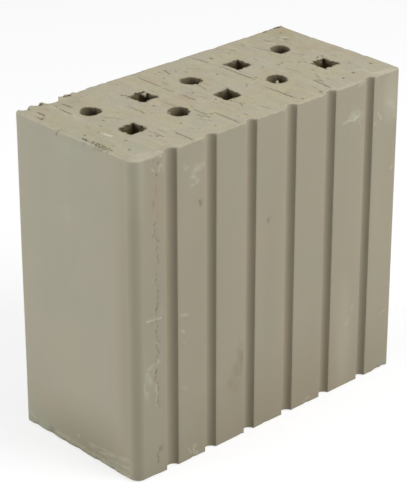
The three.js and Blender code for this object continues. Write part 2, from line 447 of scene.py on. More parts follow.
# Tears in the top bed, along the way that the wire ran: from X, Y to X, Y, their width and their depth
TEARS = [
    (-109.5, 47.5, -110, 37.5, 1.3, 1.9), (-115, 40, -115, 37, 1.4, 1.6),
    (-96, 41.5, -96.5, 28.5, 1.1, 1.7), (-94.5, 51, -95, 43.5, 0.5, 0.5), (-89, 47.5, -88.5, 37, 1, 1.5),
    (-83.5, 49, -82, 46.5, 0.7, 0.9), (-85, 12.5, -81.5, 5.5, 0.5, 0.6), (-81, 6, -77, -0.5, 0.6, 0.7),
    (29.5, 55, 31.5, 36, 0.8, 1.2), (32, 28.5, 32.5, -7, 0.9, 1.5), (-27, -29.5, -27.5, -55, 0.8, 1.2),
    (-22, 8.5, -21, -7.5, 0.8, 1.2), (-67.5, -36, -68, -56.5, 0.7, 1), (-22, 50, -22, 26, 0.6, 0.8),
    (-22.5, 24, -22, 13, 0.5, 0.6), (-37.5, -23.5, -34.5, -36, 0.6, 0.7), (-78.5, -25, -78, -40, 0.6, 0.7),
    (0.5, 49, -2, 38.5, 0.7, 0.8), (28, -17.5, 28, -49.5, 1, 1.6), (60.5, -32.5, 58, -51, 1, 1.6),
    (63, -34, 63, -40.5, 0.9, 1.3), (75.5, 40.5, 76.5, 23.5, 0.6, 0.8), (87, 14, 89.5, 3, 0.6, 0.8),
    (75, 55.5, 74, 46.5, 0.5, 0.5), (-16, -0.5, -13, -8.5, 0.5, 0.5), (-32.5, -17, -33.5, -31.5, 0.5, 0.6),
    (-2.5, 11.5, -3.5, 1.5, 0.5, 0.6), (-4.5, -24, -4.3, -28.8, 0.5, 0.6),
    (-3.4, -28.8, -2.2, -30.4, 0.5, 0.7), (-2.2, -30.4, -2.9, -33, 0.5, 0.7), (0.5, -41, 4, -52, 0.5, 0.6),
    (-60, 14, -61, -3.5, 0.6, 0.8), (54, 55, 56.5, 49, 0.6, 0.6), (62, -4, 64.5, -18.5, 0.4, 0.4),
    (-44, -29.5, -36.5, -41, 0.4, 0.4), (90.9, 45.5, 90.6, 42.4, 0.6, 0.7),
    (90.6, 42.4, 90.8, 40, 0.7, 0.8), (90.8, 40, 93.2, 39.5, 0.6, 0.6),
    (100.5, 37.2, 104.5, 34.6, 1.2, 1.1), (-31.5, 28.5, -31, 21, 0.4, 0.4), (-39.5, 5, -38.5, -6, 0.4, 0.5),
    (36.5, 14, 35, 10.5, 0.5, 0.8), (0, -21.5, -1.5, -24.5, 0.5, 0.8), (-49, 29.5, -50.5, 33.5, 0.6, 0.9),
    # The heaviest of those in the plucked strip beside the left arris
    (-116.4, -6, -117, -11.8, 1.9, 1.9), (-117.4, -12.5, -117.6, -15.5, 0.9, 1.3),
    (-118.2, -20.5, -118.3, -23.5, 1.2, 1.6), (-118, -26.5, -118.2, -28, 1.4, 1.6),
    (-117.8, -31.5, -118, -33, 1.4, 1.6),
    # Curls under the scallops of the back arris, darkened as their painted shadow
    (-110.2, 54.6, -108.4, 55.3, 1.5, 1.8), (-103.6, 55.2, -102, 54.9, 1.4, 1.8),
    (-101.2, 54.8, -97.2, 55.3, 1.3, 1.8), (-85.8, 54.8, -84, 55.4, 1.6, 1.8),
    (-80.4, 55.2, -77.2, 55.3, 1.6, 1.8), (-77, 55.3, -74, 55.5, 1.3, 1.6),
    (111.6, 55.5, 117.4, 55.4, 1, 0.7), (99.8, 55.6, 104.4, 55.5, 0.9, 0.8),
    # Splits that run out from the hole mouths
    (-78.5, -22, -74.5, -19, 2, 2.4), (-41.5, 28, -41, 31, 0.7, 0.9), (-36, 28, -35, 30, 0.7, 0.9),
    (46, 28, 46.5, 31, 0.6, 0.8), (50, 28.5, 51.5, 30.5, 0.6, 0.8), (7.5, -6.5, 9, -4, 0.6, 0.8),
    (5.5, -6.5, 5, -4, 0.5, 0.6), (91.5, -10, 93, -8, 1.2, 1.6), (93.5, -10, 95.5, -7.5, 1.3, 1.8),
    (94.5, -12, 97, -10, 1.2, 1.6), (95, -14.5, 97, -13, 1, 1.3), (94.5, -18, 96, -17, 0.9, 1.2),
    (92.5, -5.5, 94.5, -4, 1.6, 1.8), (80.5, -24, 80, -27, 0.6, 0.8), (83.5, 16, 82, 13.5, 0.6, 0.8),
]

# Pits in the top bed: X, Y, radius and depth
PITS = [
    (-115, 36, 1.8, 1.8), (-112.5, 36, 0.7, 0.8), (-88, 6.5, 0.9, 1.2), (-51, 32, 0.8, 0.9),
    (-49.5, 30, 0.6, 0.7), (-99.5, -28, 0.9, 1.1), (-107.5, -40.5, 0.9, 0.9), (-112.5, -4, 0.9, 1),
    (-48, 4, 1, 1.2), (-118, 13.5, 0.9, 1.2), (-14, 4, 1, 1.1), (-30, -31, 0.9, 1), (-55, -29.5, 0.8, 0.8),
    (-41.5, -47, 0.7, 0.7), (-4.4, -30.8, 0.8, 1), (-5.4, -33.2, 0.8, 0.9), (-80, -35.5, 0.7, 0.7),
    (-83, -32.5, 0.7, 0.7), (-10, 36.5, 0.7, 0.6), (8.5, 35, 0.7, 0.6), (38.5, 42.5, 1.3, 1.6),
    (4.5, 41, 0.7, 0.6), (20.5, 17.5, 0.8, 0.8), (22, -9.5, 0.8, 0.9), (-8.5, 46, 0.6, 0.6),
    (-5, -23.5, 0.8, 0.8), (-11, -14, 0.8, 0.9), (89.5, -42, 1.3, 1.5), (77, -44.5, 1.1, 1.3),
    (30.5, -52.5, 0.8, 1), (48, -52, 1.1, 1.4), (111, -37.5, 1.2, 1.2), (109, 46.5, 0.7, 0.6),
    (68, 4, 0.7, 0.7), (76.5, -4, 0.9, 0.9), (69.5, -27.5, 0.7, 0.7), (52.5, 7, 0.7, 0.7),
    (35.5, -4, 0.8, 0.8), (63.5, 3, 0.7, 0.7), (69, -38.5, 0.8, 0.8), (101, -28, 0.7, 0.7),
    (97.5, -5.5, 1, 1.4), (90, -7, 0.9, 1.2),
]

# Pale smears and low ridges on the top bed: from X, Y to X, Y, width, rise and paleness
TOP_SMEARS = [
    (-102.8, -9.2, -101.6, -16.6, 2.9, 0.55, 2.2), (-96.4, 50.5, -97.6, 20, 2.2, 0.3, 0.5),
    (-58, 12, -58.8, -2, 1.8, 0.2, 0.3), (-33.6, 30, -33, 20, 2, 0.2, 0.3),
    (92.9, 47.4, 92.3, 43.7, 1.6, 0.3, 1), (92.3, 43.7, 93.6, 41.9, 2, 0.35, 1.2),
    (93.6, 41.9, 99.7, 42.5, 1.8, 0.3, 1.1), (102.7, 40.5, 105.7, 38.4, 2, 0.3, 1.2),
    (99.7, 37.4, 99.5, 33.6, 2, 0.3, 1.2), (86.9, 39.1, 91.1, 33.7, 2.6, 0.15, 0.7),
    (104, 38.6, 106.8, 35.8, 1.8, 0.25, 0.6), (111.3, 20.9, 110.4, 18.4, 2, 0.2, 0.6),
    (99.9, 6, 98.8, 3, 2, 0.2, 0.5), (78, 8, 84, 5, 1.8, 0.15, 0.3), (60.4, -50, 58.8, -54, 1.8, 0.2, 0.5),
    (93, -39, 98, -41, 2, 0.3, 0.5), (98, -41, 98.5, -45.5, 2.2, 0.4, 0.7),
    (98.5, -45.5, 97, -50.5, 2.2, 0.4, 0.7), (97, -50.5, 101, -53.5, 2.6, 0.4, 0.7),
    (101, -53.5, 109, -55, 2.6, 0.35, 0.6), (-94, -54.8, -99, -54.6, 2.4, 0.3, 0.8),
    (-112, -48, -106, -53, 2.8, 0.2, 0.4), (-61, -55, -66, -55, 1.8, 0.2, 0.5),
    (47.4, -13, 45.4, -23.2, 1.8, 0.2, 0.3), (93, -26, 90, -31, 2, 0.15, 0.3),
]

# Nicks in the edges of the top bed: X, Y, radius, the push along X, Y and Z, and how torn and dark they are
NICKS = [
    # The square hole nearest the front left corner
    (-78, -22, 2.8, 1.3, 0.6, -0.5, 0.9), (-75.8, -20.2, 2, 0, 0, -0.9, 1.2),
    (-91, -10.4, 1.8, -0.4, 0.2, 0, 0.5), (-87.4, -9.8, 1.5, 0.2, -0.7, 0, 0.2),
    (-83.4, -9.8, 1.9, 0.2, 1.3, -0.8, 1), (-80.4, -9.6, 1.6, 0, -0.9, 0.2, 0),
    (-77.6, -9.8, 2.2, 0.7, 0.8, -0.5, 1), (-77, -15, 1.8, 0.7, 0, -0.3, 0.6),
    (-84.6, -23.4, 1.8, 0, -0.5, 0, 0.6),
    # The round hole behind it, with a tail
    (-78.8, 19.6, 2.4, 1.3, -0.6, -0.3, 0.9), (-76.8, 26.2, 1.7, 0.8, 0.3, 0, 0.4),
    (-80.4, 17.8, 2, 0.2, -0.6, 0, 0.4), (-90, 26, 1.8, 0.5, -0.2, 0, 0),
    # The next round hole at the front
    (-49.4, -11, 1.8, -1.4, 0.5, -0.4, 1), (-47.6, -8.8, 1.8, -0.5, 0.8, -0.2, 0.9),
    (-37, -19, 1.9, 1, -0.5, 0, 0.7), (-39.4, -20.6, 1.7, -0.5, 1.1, 0, 0),
    (-42.2, -21.8, 1.7, 0.1, -1.1, 0, 0.5),
    # The next square hole at the back
    (-49.6, 27, 1.8, -0.7, 0.4, -0.2, 0.9), (-36.6, 26.6, 3, 1.2, 1.4, -0.6, 1),
    (-36, 22.6, 2, 1.2, 0, -0.4, 1), (-41.6, 27.4, 2, 0, 1.2, -0.4, 1), (-36, 14.2, 1.6, 0.6, -0.3, 0, 0.6),
    # The middle holes
    (-1.2, 13.2, 1.9, -0.3, -1.5, -0.2, 0.8), (2.6, 13.6, 1.8, -0.4, 1.2, 0.1, 0),
    (5.8, 16, 1.8, 1, -0.8, -0.2, 0.8), (-6.2, 17.6, 1.6, -0.4, -0.2, 0, 0.3),
    (7.2, -7, 2, 0.7, 0.7, -0.2, 0.9), (7, -11, 1.6, 0.6, 0, 0, 0.5), (1.4, -20.8, 1.6, 0.1, -0.6, 0, 0.6),
    (5.4, -20.9, 1.5, 0.2, -0.5, 0, 0.5),
    # The last but one at either side
    (37, 14.6, 1.6, -0.5, -0.7, -0.2, 0.7), (49.4, 27.6, 2.4, 0.2, 1, -0.4, 1),
    (46.4, 28, 1.5, 0, 1, -0.3, 1), (43.4, 27.8, 1.4, 0, -0.6, 0, 0), (49.8, 22.6, 1.6, 0.5, 0, 0, 0.6),
    (38.6, -20.8, 2, 0.5, 0.5, 0, 0.3), (50.4, -14, 1.6, 0.4, 0.2, 0, 0.3),
    # The last square hole at the front, badly torn where the wire left it
    (93.6, -10.6, 2.4, 2.2, 2.8, -0.7, 1), (91, -10.2, 1.5, 0, 2.2, -0.5, 1),
    (88.6, -10.2, 1.4, 0.2, 1.8, -0.3, 1), (86.4, -10.4, 1.2, 0, -0.8, 0, 0.2),
    (84.2, -10.4, 1.5, -0.2, 1, -0.2, 1), (94, -13.6, 1.5, 2, 0.4, -0.4, 1),
    (94, -16.4, 1.3, 1.7, 0.2, -0.2, 1), (94, -18.6, 1.2, -0.8, 0, 0, 0.2),
    (94.2, -20.8, 1.5, 1, 0.2, 0, 0.9), (81.4, -23.4, 1.8, -0.3, -1.2, -0.2, 0.8),
    (86, -23.9, 1.4, 0, -0.6, 0, 0.6),
    # The last round hole at the back
    (80.6, 18, 1.8, -1.5, -1.3, -0.2, 0.9), (84, 16.2, 1.6, 0, 0.7, 0, 0),
    # The front arris
    (-79, FRONT, 2.6, 0, 0.2, -0.7, 0), (-66, FRONT, 2, 0, 0.2, -0.6, 0.1),
    (-43.5, FRONT, 1.9, 0, 0.2, -0.9, 0.1), (-34, FRONT, 3, 0, 0.2, -0.8, 0),
    (-6, FRONT, 2, 0, 0.2, -1, 0.1), (3, FRONT, 3.2, 0, 0.1, -0.7, 0),
    (26.5, FRONT, 1.9, 0, 0.2, -0.9, 0.1), (32, FRONT, 2.2, 0, 0.1, -1.1, 0),
    (38.5, FRONT, 1.8, 0, 0.2, -0.8, 0.1), (44, FRONT, 2.4, 0, 0.1, -0.8, 0),
    (63.5, FRONT, 2.2, 0, 0.2, -0.9, 0), (73, FRONT, 3, 0, 0.1, -0.7, 0.1),
    # The right arris
    (120, 27, 3, -0.2, 0, -0.3, 0.1), (120, -6, 2.4, -0.2, 0, -0.5, 0.2),
    (120, -23, 3.6, -0.2, 0, -0.4, 0.1),
    # The left arris
    (-119.6, 13.7, 1.7, 0.9, 0, -0.6, 1), (-119.6, -12, 3, 0.4, 0, -0.5, 0.3),
    (-119, -21, 2.6, 0.4, 0, -0.7, 0.8), (-119.4, -25, 2.6, 0.4, 0, -0.6, 0.7),
    (-119.4, -29, 2.2, 0.4, 0, -0.7, 0.9), (-119.2, -33.4, 1.8, 0.3, 0, -0.5, 0.9),
    # The back arris, where the wire rolled it over in scallops beside the first groove, with painted shadow
    # under the curls
    (-113, 60, 12, 0, 0, -1.3, 0), (-93, 60, 15, 0, 0, -1.5, 0), (-72, 60, 13, 0, 0, -1.2, 0),
    (-116.4, 57.5, 3.4, 0, 0.2, 1.2, 0), (-110.2, 57.3, 2.3, 0, -0.7, -1.1, 2.6),
    (-107, 57.5, 3.6, 0, 0.3, 1.7, 0), (-103, 57.4, 2, 0, 0, 0, 2.2), (-101.5, 57.3, 2, 0, -0.9, -1.8, 1),
    (-98, 57.5, 4, 0, 0.3, 1.8, 0), (-100.2, 57, 2, 0, 0.2, 0, 1.6), (-97.4, 57.2, 1.8, 0, 0.1, 0, 1.4),
    (-88.4, 56.9, 4, 0, -1.2, -1.9, 0.2), (-86.4, 57.2, 1.8, 0.2, -0.6, -1.4, 0.4),
    (-84.8, 57.2, 2.4, -0.5, 0.3, 1.1, 2.6), (-82.6, 57.5, 2.6, 0, 0.3, 1, 0),
    (-79.8, 57.2, 2, 0, -0.3, -0.2, 2.4), (-77.6, 57.5, 3.4, 0, 0.3, 1.7, 0.7),
    (-75.4, 57, 2, 0, 0.3, 0, 2.4), (-72, 57.5, 4, 0, 0.3, 1.4, 0), (-62, 57.5, 2.2, 0, -0.2, -0.6, 0.6),
    (-44, 57.5, 2, 0, -0.2, -0.5, 0.8), (100.6, 56.8, 2, 0, 0, -0.2, 1.8),
    (103.6, 56.6, 2.2, 0, 0, 0.1, 1.8), (108.6, 56.8, 2.4, 0, 0, 0.2, 1.4),
    (113.2, 56.4, 2.8, 0, 0, 0.5, 1.7), (116.4, 56.4, 2.4, 0, 0, 0.4, 1.6),
    (119.4, 56.6, 1.6, 0, 0, 0.6, 1),
]

# The same round the lower bed
LOWER_NICKS = [
    (108, FRONT, 4, 0, 0.2, 0.7, 0.3), (101.5, FRONT, 2.6, 0, 0, -0.4, 0.3),
    (114, FRONT, 3.4, 0, 0.3, 0.9, 0.3), (36, FRONT, 2.4, 0, 0.2, 0.5, 0.3),
    (-4, FRONT, 3, 0, 0.2, 0.3, 0.2), (-26, FRONT, 2, 0, 0.2, 0.4, 0.2),
    (-70, FRONT, 2.5, 0, 0.2, 0.4, 0.2), (LEFT, 46, 5, 0.3, 0, 0.4, 0.5), (LEFT, 30, 6, 0.3, 0, 0.4, 0.6),
    (LEFT, 16, 3, 0.3, 0, 0.2, 0.7), (LEFT, 2, 4, 0.2, 0, 0.3, 0.6), (LEFT, -18, 4, 0.3, 0, 0.4, 0.6),
    (LEFT, -34, 3, 0.2, 0, 0.3, 0.4), (-LEFT, -36, 4, -0.3, 0, 0.6, 0.3), (-LEFT, -8, 5, -0.3, 0, 0.4, 0.5),
    (-LEFT, 21, 3.4, -0.3, 0, 0.4, 0.4), (-LEFT, 49, 3, -0.2, 0, 0.5, 0.3),
    (-106, -FRONT, 3.6, 0, -0.3, 0.6, 0.3), (-68, -FRONT, 2.8, 0, -0.2, 0.4, 0.4),
    (-30, -FRONT, 3, 0, -0.2, 0.5, 0.3), (5, -FRONT, 2.6, 0, -0.2, 0.4, 0.3),
    (40, -FRONT, 3.2, 0, -0.3, 0.6, 0.4), (66, -FRONT, 2.4, 0, -0.2, 0.4, 0.3),
    (109, -FRONT, 4.2, 0, -0.3, 0.7, 0.4),
]

# The plucked strip beside the left arris: its X, from Y to Y, and the lanes of its tears, across from there
PLUCKED_STRIP = (-116.4, -30, -13, (-1.9, -0.8, 0.3, 1.4))

# How many faint tears lie strewn over the top bed, and how far they keep from the middles of the holes
FINE_TEARS = 60
CLEAR_OF_HOLES = 12

# How full the wire dragged each back groove on its way out of the clay, and how far down that goes
BACK_GROOVE_FILL = [0.25, 0.85, 0.8, 0.85, 0.8, 0.85]
FILL_DEPTH = 4.5

# How far down a side the bed's waves, the plucked edge of a mouth and its sagging go
WAVE_DEPTH = 14
PLUCKED_DEPTH = 5
SAG_DEPTH = 20


def near_bed(depth, reach):
    """1 at a bed, fading to 0 some way down the side."""
    return np.clip(1 - depth / reach, 0, 1) ** 2


def bed_relief(xy, seed):
    """How far a wire-cut bed lies inside: broad waves, drag lines along Y and a fine grain."""
    broad = 0.2 * (1 + lumps(xy, (48, 40), seed))
    calm = 0.5 * (1 + lumps(xy, (14, 24), seed + 3))
    drag = 0.11 * calm * (1 + lumps(xy, (3.2, 45), seed + 1))
    grain = 0.06 * (1 - calm) * (1 + lumps(xy, (2.0, 4.5), seed + 2))
    return BED_SHRINK - BED_RISE + broad + drag + grain


def die_relief(points, seed):
    """How far a side smoothed by the die lies inside: broad waves and faint upright lines."""
    broad = 0.12 * (1 + lumps(points, (60, 60, 80), seed))
    lines = 0.02 * (1 + lumps(points, (7, 7, 300), seed + 1))
    return SIDE_SHRINK - SIDE_RISE + broad + lines


def torn_strip(x, low, high, lanes, seed):
    """Short tears side by side, where the wire plucked a strip of clay."""
    rng = np.random.default_rng(seed)
    made = []
    for lane in lanes:
        y = high - rng.uniform(0, 3)
        while y > low:
            run = rng.uniform(1.2, 6.0)
            across = x + lane + rng.uniform(-0.35, 0.35)
            lean = rng.uniform(-0.5, 0.5)
            made.append((across, y, across + lean, y - run, rng.uniform(0.5, 1.2), rng.uniform(0.5, 1.7)))
            y -= run + rng.uniform(0.4, 2.2)
    return made


def fine_tears(middles, count, seed):
    """Faint short tears strewn over the bed, along Y, clear of the holes."""
    rng = np.random.default_rng(seed)
    made = []
    while len(made) < count:
        x, y = rng.uniform(LEFT + 5, -LEFT - 5), rng.uniform(FRONT + 12, -FRONT - 5)
        run = rng.uniform(2, 7)
        ends = np.array([(x, y), (x, y - run / 2), (x, y - run)])
        if all(lengths(ends - middle).min() > CLEAR_OF_HOLES for middle in middles):
            lean = rng.uniform(-0.4, 0.4)
            made.append((x, y, x + lean, y - run, rng.uniform(0.3, 0.5), rng.uniform(0.25, 0.6)))
    return made


def pull_mouths(points, middles):
    """Stretches or squeezes the mouth of each hole in the top bed, and the clay close round it."""
    for middle, (long, short) in zip(middles, MOUTHS):
        x, y = (points[:, :2] - middle).T
        share = np.clip((MOUTH_REACH - np.hypot(x, y)) / MOUTH_FADE, 0, 1)
        share *= near_bed(HEIGHT - points[:, 2], MOUTH_DEPTH)
        along, across = (x + y) / 2 * (long - 1), (x - y) / 2 * (short - 1)
        points[:, 0] += share * (along + across)
        points[:, 1] += share * (along - across)


def handled(points, middles):
    """Points of the plain brick, moved as the wire and hands moved the clay, and how torn that left them."""
    moved = points.copy()
    pull_mouths(moved, middles)
    xy, z = points[:, :2], points[:, 2]
    moved[:, 2] -= bed_relief(xy, 11) * near_bed(HEIGHT - z, WAVE_DEPTH)
    moved[:, 2] += 0.5 * bed_relief(xy, 31) * near_bed(z, WAVE_DEPTH)
    torn = np.zeros(len(points))
    for level, nicks in ((HEIGHT, NICKS), (0, LOWER_NICKS)):
        for x, y, radius, *push, dark in nicks:
            share = dome(lengths((points - (x, y, level)) / (1, 1, 1.4)), radius)
            moved += share[:, None] * push
            # Along the back arris a nick's dark is painted shadow under its curl
            torn = np.maximum(torn, dark * share)
    return moved, torn


# ---- The mesh

# What the surface is like: cut by the wire; torn, which also paints shade in cracks, pits and under curls;
# smeared pale, which also paints a highlight along the arrises; and painted shade on the walls of the holes
KINDS = ("cut", "torn", "pale", "painted_hole_shade")


class Clay:
    """The mesh as it grows: points in mm, what the surface is like at each, and faces."""

    def __init__(self):
        self.points, self.faces, self.count = [], [], 0
        self.kinds = {kind: [] for kind in KINDS}

    def add_points(self, points, **kinds):
        """Adds points and says the number of the first."""
        first, n = self.count, len(points)
        self.points.append(np.asarray(points, float))
        for kind, values in self.kinds.items():
            values.append(np.broadcast_to(kinds.get(kind, 0.0), n))
        self.count += n
        return first

    def shares(self):
        """What the surface is like at every point."""
        return {kind: np.concatenate(values) for kind, values in self.kinds.items()}

    def mesh(self, name, points, shares):
        """The smooth-shaded mesh, with the shares that its finish reads noted on its points."""
        mesh = bpy.data.meshes.new(name)
        mesh.from_pydata((points * MM).tolist(), [], self.faces)
        for kind, values in shares.items():
            values = np.asarray(values, np.float32)
            mesh.attributes.new(kind, "FLOAT", "POINT").data.foreach_set("value", values)
        mesh.polygons.foreach_set("use_smooth", np.ones(len(mesh.polygons), bool))
        mesh.update()
        return mesh


# How round an arris is, usually and at most, and the steps over it: of a hole, and of the whole section
HOLE_ARRIS = (0.3, 0.5, 2)
SIDE_ARRIS = (0.9, 2.4, 4)

# A wall is bent where it turns by more than this at one point, in radians
BENT = 0.015

# How far from its lower and its upper end a wall's even skin of points keeps
SKIN_START = 13
SKIN_END = 12

# Corners where hands take hold of the brick: X, Y, how far round them, and how firmly
HELD_AT = [(-108, -57, 16, 1.0), (108, -57, 10, 0.5)]


def arris_radii(loop, usual, most, seed):
    """How round the arris is at each point of a loop: more at the left end and the front corners, where hands
    take hold of the brick, and less where the section itself turns tightly."""
    held = 0.6 * np.clip((LEFT + 6 - loop[:, 0]) / 4, 0, 1) * np.clip((52 - loop[:, 1]) / 10, 0, 1)
    for x, y, reach, most_held in HELD_AT:
        held = np.maximum(held, most_held * dome(lengths(loop - (x, y)), reach))
    usual = usual * (1 + held)
    radii = usual * (1 + 0.45 * lumps(loop, 14, seed) + 0.3 * lumps(loop, 3.5, seed + 1))
    bend = lengths(loop - ahead(loop, -1)) / np.maximum(turning(loop), 1e-3)
    radii = np.minimum(np.clip(radii, 0.15, most), 0.7 * bend)
    near = [ahead(radii, by) for by in (2, 1, 0, -1, -2)]
    return np.minimum(np.mean(near, axis=0), 0.75 * bend)


class Wall:
    """A wall that runs straight up from a plan loop: number 0 round the brick, the others round its holes.
    Unrolled, S runs round the loop and V up it."""

    def __init__(self, loop, number, ragged):
        self.loop, self.hole, self.ragged, self.seed = loop, number > 0, ragged, 80 + number
        usual, most, self.steps = HOLE_ARRIS if self.hole else SIDE_ARRIS
        self.high_radii = arris_radii(loop, usual, most, 40 + number)
        self.low_radii = arris_radii(loop, usual, most, 60 + number)
        self.s = np.concatenate([[0.0], np.cumsum(lengths(ahead(loop) - loop))])
        self.out = out_of_clay(loop)
        self.bent = np.abs(turning(loop)) > BENT

    def read(self, values, s):
        """Values given at the loop's points, read at other places round it."""
        return np.interp(s, self.s, np.concatenate([values, values[:1]]))

    def place(self, s, v, turn=0.0, high=False):
        """The points at S, V, or, with a turn, that far over the arris at one end, and how they look."""
        low, top = self.read(self.low_radii, s), self.read(self.high_radii, s)
        z = low + v / HEIGHT * (HEIGHT - low - top)
        radii = top if high else low
        z = z + (radii if high else -radii) * math.sin(turn)
        flat = np.column_stack([self.read(row, s) for row in self.loop.T])
        out = np.column_stack([self.read(row, s) for row in self.out.T])
        out /= lengths(out)[:, None]
        points = np.column_stack([flat - out * (radii * (1 - math.cos(turn)))[:, None], z])
        coarse = lumps(points, (3.0, 3.0, 5.0), self.seed + 3)
        fine = lumps(points, (1.3, 1.3, 2.6), self.seed + 4)
        plucked = (0.5 * coarse + 0.6 * fine) * near_bed(HEIGHT - z, PLUCKED_DEPTH)
        lies_in = die_relief(points, self.seed) + np.clip(self.ragged * plucked, -0.25, 1.6)
        pale, torn = np.zeros((2, len(points)))
        if self.hole:
            lies_in += 0.3 * coarse * near_bed(HEIGHT - z, SAG_DEPTH)
            torn = np.clip(1.2 * self.ragged * plucked, 0, 0.8)
            # Painted shade on the walls of the hole: 0.65 at each mouth, full a few mm in
            painted_hole_shade = np.clip(0.65 + np.minimum(z, HEIGHT - z) / 8, 0, 1)
            points[:, :2] -= out * lies_in[:, None]
            return points, {"torn": torn, "pale": pale, "painted_hole_shade": painted_hole_shade}
        edge = ragged_edge(points)
        for start, end, width, rise, paleness, tear in MARKS:
            share = cover(points, start, end, width, edge)
            lies_in -= rise * share
            pale = np.maximum(pale, paleness * share)
            torn = np.maximum(torn, tear * share)
        points[:, :2] -= out * lies_in[:, None]
        fill_back_grooves(points)
        return points, {"torn": torn, "pale": pale}


def fill_back_grooves(points):
    """Drags the clay at the top of each back groove out towards the face."""
    back = -FRONT - SIDE_SHRINK - 0.3
    nearest = np.abs(points[:, 0][:, None] - GROOVE_XS).argmin(axis=1)
    full = np.array(BACK_GROOVE_FILL)[nearest] * (1 + 0.2 * lumps(points[:, :2], 3, 71))
    share = np.clip(full, 0, 0.95) * near_bed(HEIGHT - points[:, 2], FILL_DEPTH)
    behind = (points[:, 1] > back - 5) & (points[:, 1] < back)
    points[:, 1] += np.where(behind, share * (back - points[:, 1]), 0)


def arris(clay, wall, turns, high):
    """The rounded edge at one end of a wall, as rings. Says the first point of each, from the lowest up."""
    n = len(wall.loop)
    around = np.arange(n)
    on = ahead(around)
    firsts = []
    for turn in turns:
        points, looks = wall.place(wall.s[:-1], np.full(n, HEIGHT if high else 0.0), turn, high)
        if not wall.hole:
            # A pale band halfway round each arris of the outline: a painted highlight
            looks["pale"] = np.maximum(looks["pale"], 0.3 * math.sin(2 * turn))
        firsts.append(clay.add_points(points, cut=turn / (math.pi / 2), **looks))
    for here, there in zip(firsts, firsts[1:]):
        clay.faces += np.stack([here + around, here + on, there + on, there + around], axis=1).tolist()
    return firsts


def far_from(points, others, gap):
    """Which points lie at least the gap from every other one given."""
    keep = np.ones(len(points), bool)
    for chunk in np.array_split(np.arange(len(points)), 40):
        away = points[chunk][:, None] - others[None]
        keep[chunk] = ((away**2).sum(axis=2) > gap**2).all(axis=1)
    return keep


def mark_grid(wall):
    """Places on the unrolled wall, close together within each mark."""
    found = []
    for start, end, width, *_ in MARKS:
        start, run = np.array(start), np.subtract(end, start)
        length = np.linalg.norm(run)
        along = run / length
        across = np.cross(along, (1, 0, 0) if abs(start[0]) == -LEFT else (0, 1, 0))
        half = width / 2 + 0.4
        for a in np.arange(-half, length + half, MARK_STEP):
            found += [start + along * a + across * b for b in np.arange(-half, half + 0.01, MARK_STEP)]
    found = np.array(found)
    near = lengths(found[:, None, :2] - wall.loop[None]).argmin(axis=1)
    along = ahead(wall.loop) - ahead(wall.loop, -1)
    along /= lengths(along)[:, None]
    away = found[:, :2] - wall.loop[near]
    s = wall.s[near] + (away * along[near]).sum(axis=1)
    return np.column_stack([s, found[:, 2]])[lengths(away) < 2.0]


# Rows of extra points near each end of a wall: how deep, and on every how many-th of the loop's points
NEAR_ENDS = ((0.9, 1), (2.0, 1), (3.6, 2), (6.0, 3), (9.5, 4))


def wall_grid(wall):
    """Places on the unrolled wall between its ends: upright columns for its bends, and then the rest."""
    found, columns = [], []
    rows = np.linspace(0, HEIGHT, round(HEIGHT / ROW_STEP) + 1)[1:-1]
    for i in np.flatnonzero(wall.bent):
        columns.append((len(found), len(rows), i))
        found += [(wall.s[i], v) for v in rows]
    rest = []
    for depth, every in NEAR_ENDS:
        for s in wall.s[:-1][::every]:
            rest += [(s, depth), (s, HEIGHT - depth)]
    flats = np.arange(0, wall.s[-1], SKIN_STEP)
    for k, v in enumerate(np.arange(SKIN_START, HEIGHT - SKIN_END, SKIN_STEP * ROW_SHARE)):
        rest += [(s + (k % 2) * SKIN_STEP / 2, v) for s in flats]
    rest = np.array(rest)
    rest = rest[(rest[:, 0] > SEAM_GAP) & (rest[:, 0] < wall.s[-1] - SEAM_GAP)]
    if not wall.hole:
        marks = mark_grid(wall)
        marks = marks[(marks[:, 1] > END_GAP) & (marks[:, 1] < HEIGHT - END_GAP)]
        rest = np.concatenate([marks, rest[far_from(rest, marks, MARK_GAP)]])
    bends = wall.s[:-1][wall.bent]
    if len(bends):
        rest = rest[np.abs(rest[:, 0][:, None] - bends).min(axis=1) > BEND_GAP]
    return np.array(found).reshape(-1, 2), columns, rest


def knit(flat, held):
    """Triangles over points of a plane that keep the held edges, and which of the points each corner is."""
    made = geometry.delaunay_2d_cdt([Vector(p) for p in flat], held, [], 0, 1e-6, True)
    places = np.array([tuple(p) for p in made[0]])
    source = np.array([s[0] if s else -1 for s in made[3]])
    triangles = np.array(made[2])
    corners = places[triangles]
    area = cross(corners[:, 1] - corners[:, 0], corners[:, 2] - corners[:, 0])
    triangles = np.where((area > 0)[:, None], triangles, triangles[:, ::-1])
    return places, source, triangles[np.abs(area) > 1e-7]


